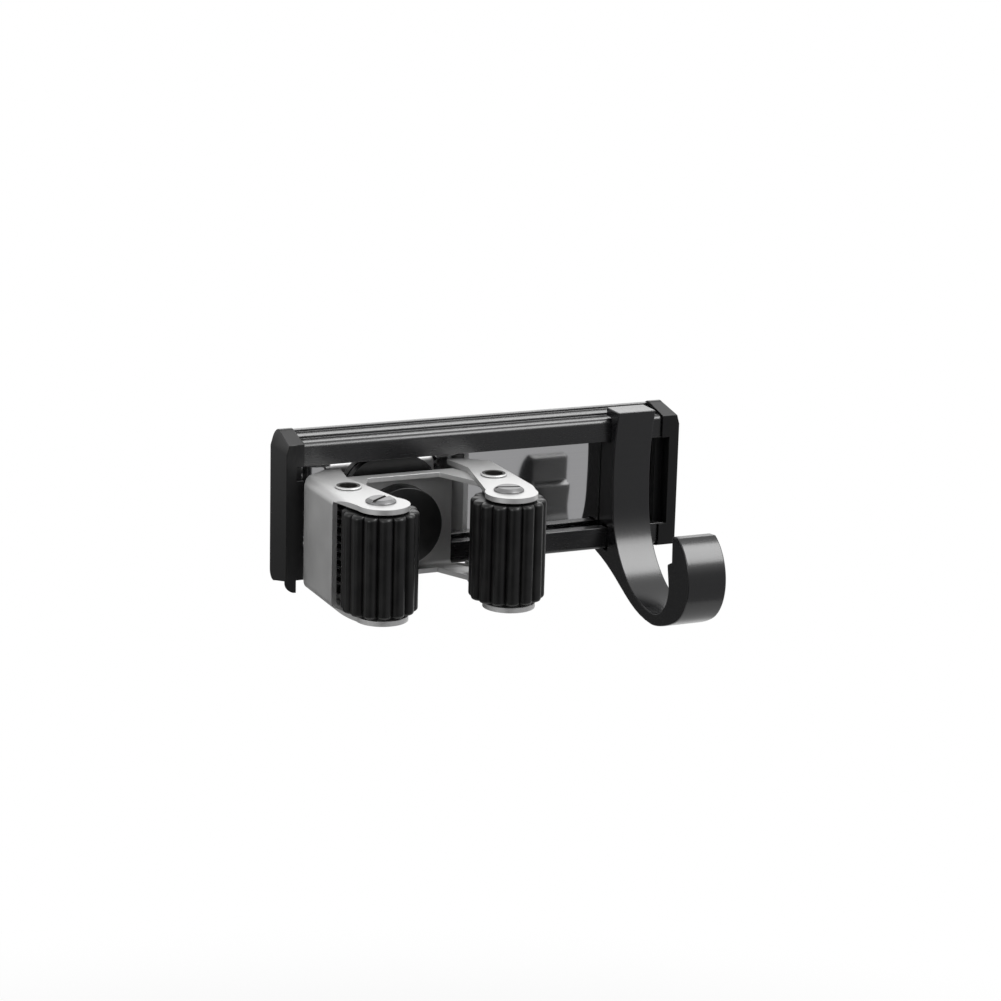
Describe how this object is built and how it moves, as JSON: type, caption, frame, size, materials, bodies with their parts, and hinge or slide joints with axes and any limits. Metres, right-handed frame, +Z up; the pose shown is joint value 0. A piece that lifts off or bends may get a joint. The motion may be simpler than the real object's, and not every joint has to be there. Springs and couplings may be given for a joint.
{
  "type": "wall mop holder rack",
  "caption": "Short black wall rail with a stepped edge that carries a sliding sprung clip with fluted rubber rollers for a mop handle and a sliding curled hook.",
  "frame": {"origin": "centre of the rail's back face, on the wall, midway between the two wall screw holes", "axes": "+X along the rail towards the hook, +Y into the wall, so -Y points out into the room, +Z up"},
  "size_m": [0.1024, 0.0535, 0.0472],
  "materials": {
    "black_anodised": "black anodised, satin, with the fine die lines of an extrusion",
    "satin_anodised": "black anodised, satin, glossier on the curled lip",
    "polished_strip": "polished metal that mirrors the hook",
    "black_plastic": "moulded, finely textured",
    "nickel_steel": "pressed sheet steel with a bright nickel plate",
    "zinc_steel": "zinc plated",
    "spring_wire": "drawn spring wire",
    "black_rubber": "soft matt rubber"
  },
  "bodies": {
    "rack": {"rail": "black_anodised", "channel_liner": "polished_strip", "left_end_cap": "black_plastic", "right_end_cap": "black_plastic"},
    "hook": {"hook": "satin_anodised"},
    "clip": {"clip_slider": "black_plastic", "slider_nuts": "zinc_steel", "clip_bracket": "nickel_steel", "clip_screws": "zinc_steel", "pole_buffer": "black_rubber", "left_pivot_rivet": "nickel_steel", "right_pivot_rivet": "nickel_steel", "left_arm_spring": "spring_wire", "right_arm_spring": "spring_wire"},
    "left_arm": {"left_arm": "nickel_steel", "left_roller_pin": "nickel_steel", "left_roller_washers": "black_plastic"},
    "right_arm": {"right_arm": "nickel_steel", "right_roller_pin": "nickel_steel", "right_roller_washers": "black_plastic"},
    "left_roller": {"left_roller_core": "black_plastic", "left_roller_sleeve": "black_rubber"},
    "right_roller": {"right_roller_core": "black_plastic", "right_roller_sleeve": "black_rubber"}
  },
  "joints": [
    {"name": "hook_slide", "type": "slide", "parent": "rack", "child": "hook", "axis": [1, 0, 0], "range_m": [-0.012, 0.003]},
    {"name": "clip_slide", "type": "slide", "parent": "rack", "child": "clip", "axis": [1, 0, 0], "range_m": [-0.004, 0.006]},
    {"name": "left_arm_swing", "type": "hinge", "parent": "clip", "child": "left_arm", "pos_m": [-0.0414, -0.0255, -0.00425], "axis": [0, 0, -1], "range_deg": [0, 35], "stiffness_Nm_per_rad": 0.15, "springref_deg": -34.38, "deforming": ["left_arm_spring"]},
    {"name": "right_arm_swing", "type": "hinge", "parent": "clip", "child": "right_arm", "pos_m": [-0.005, -0.0255, -0.00425], "axis": [0, 0, 1], "range_deg": [0, 35], "stiffness_Nm_per_rad": 0.15, "springref_deg": -34.38, "deforming": ["right_arm_spring"]},
    {"name": "left_roller_spin", "type": "hinge", "parent": "left_arm", "child": "left_roller", "pos_m": [-0.039, -0.0396, -0.00425], "axis": [0, 0, 1], "continuous": true},
    {"name": "right_roller_spin", "type": "hinge", "parent": "right_arm", "child": "right_roller", "pos_m": [-0.0074, -0.0396, -0.00425], "axis": [0, 0, 1], "continuous": true}
  ]
}
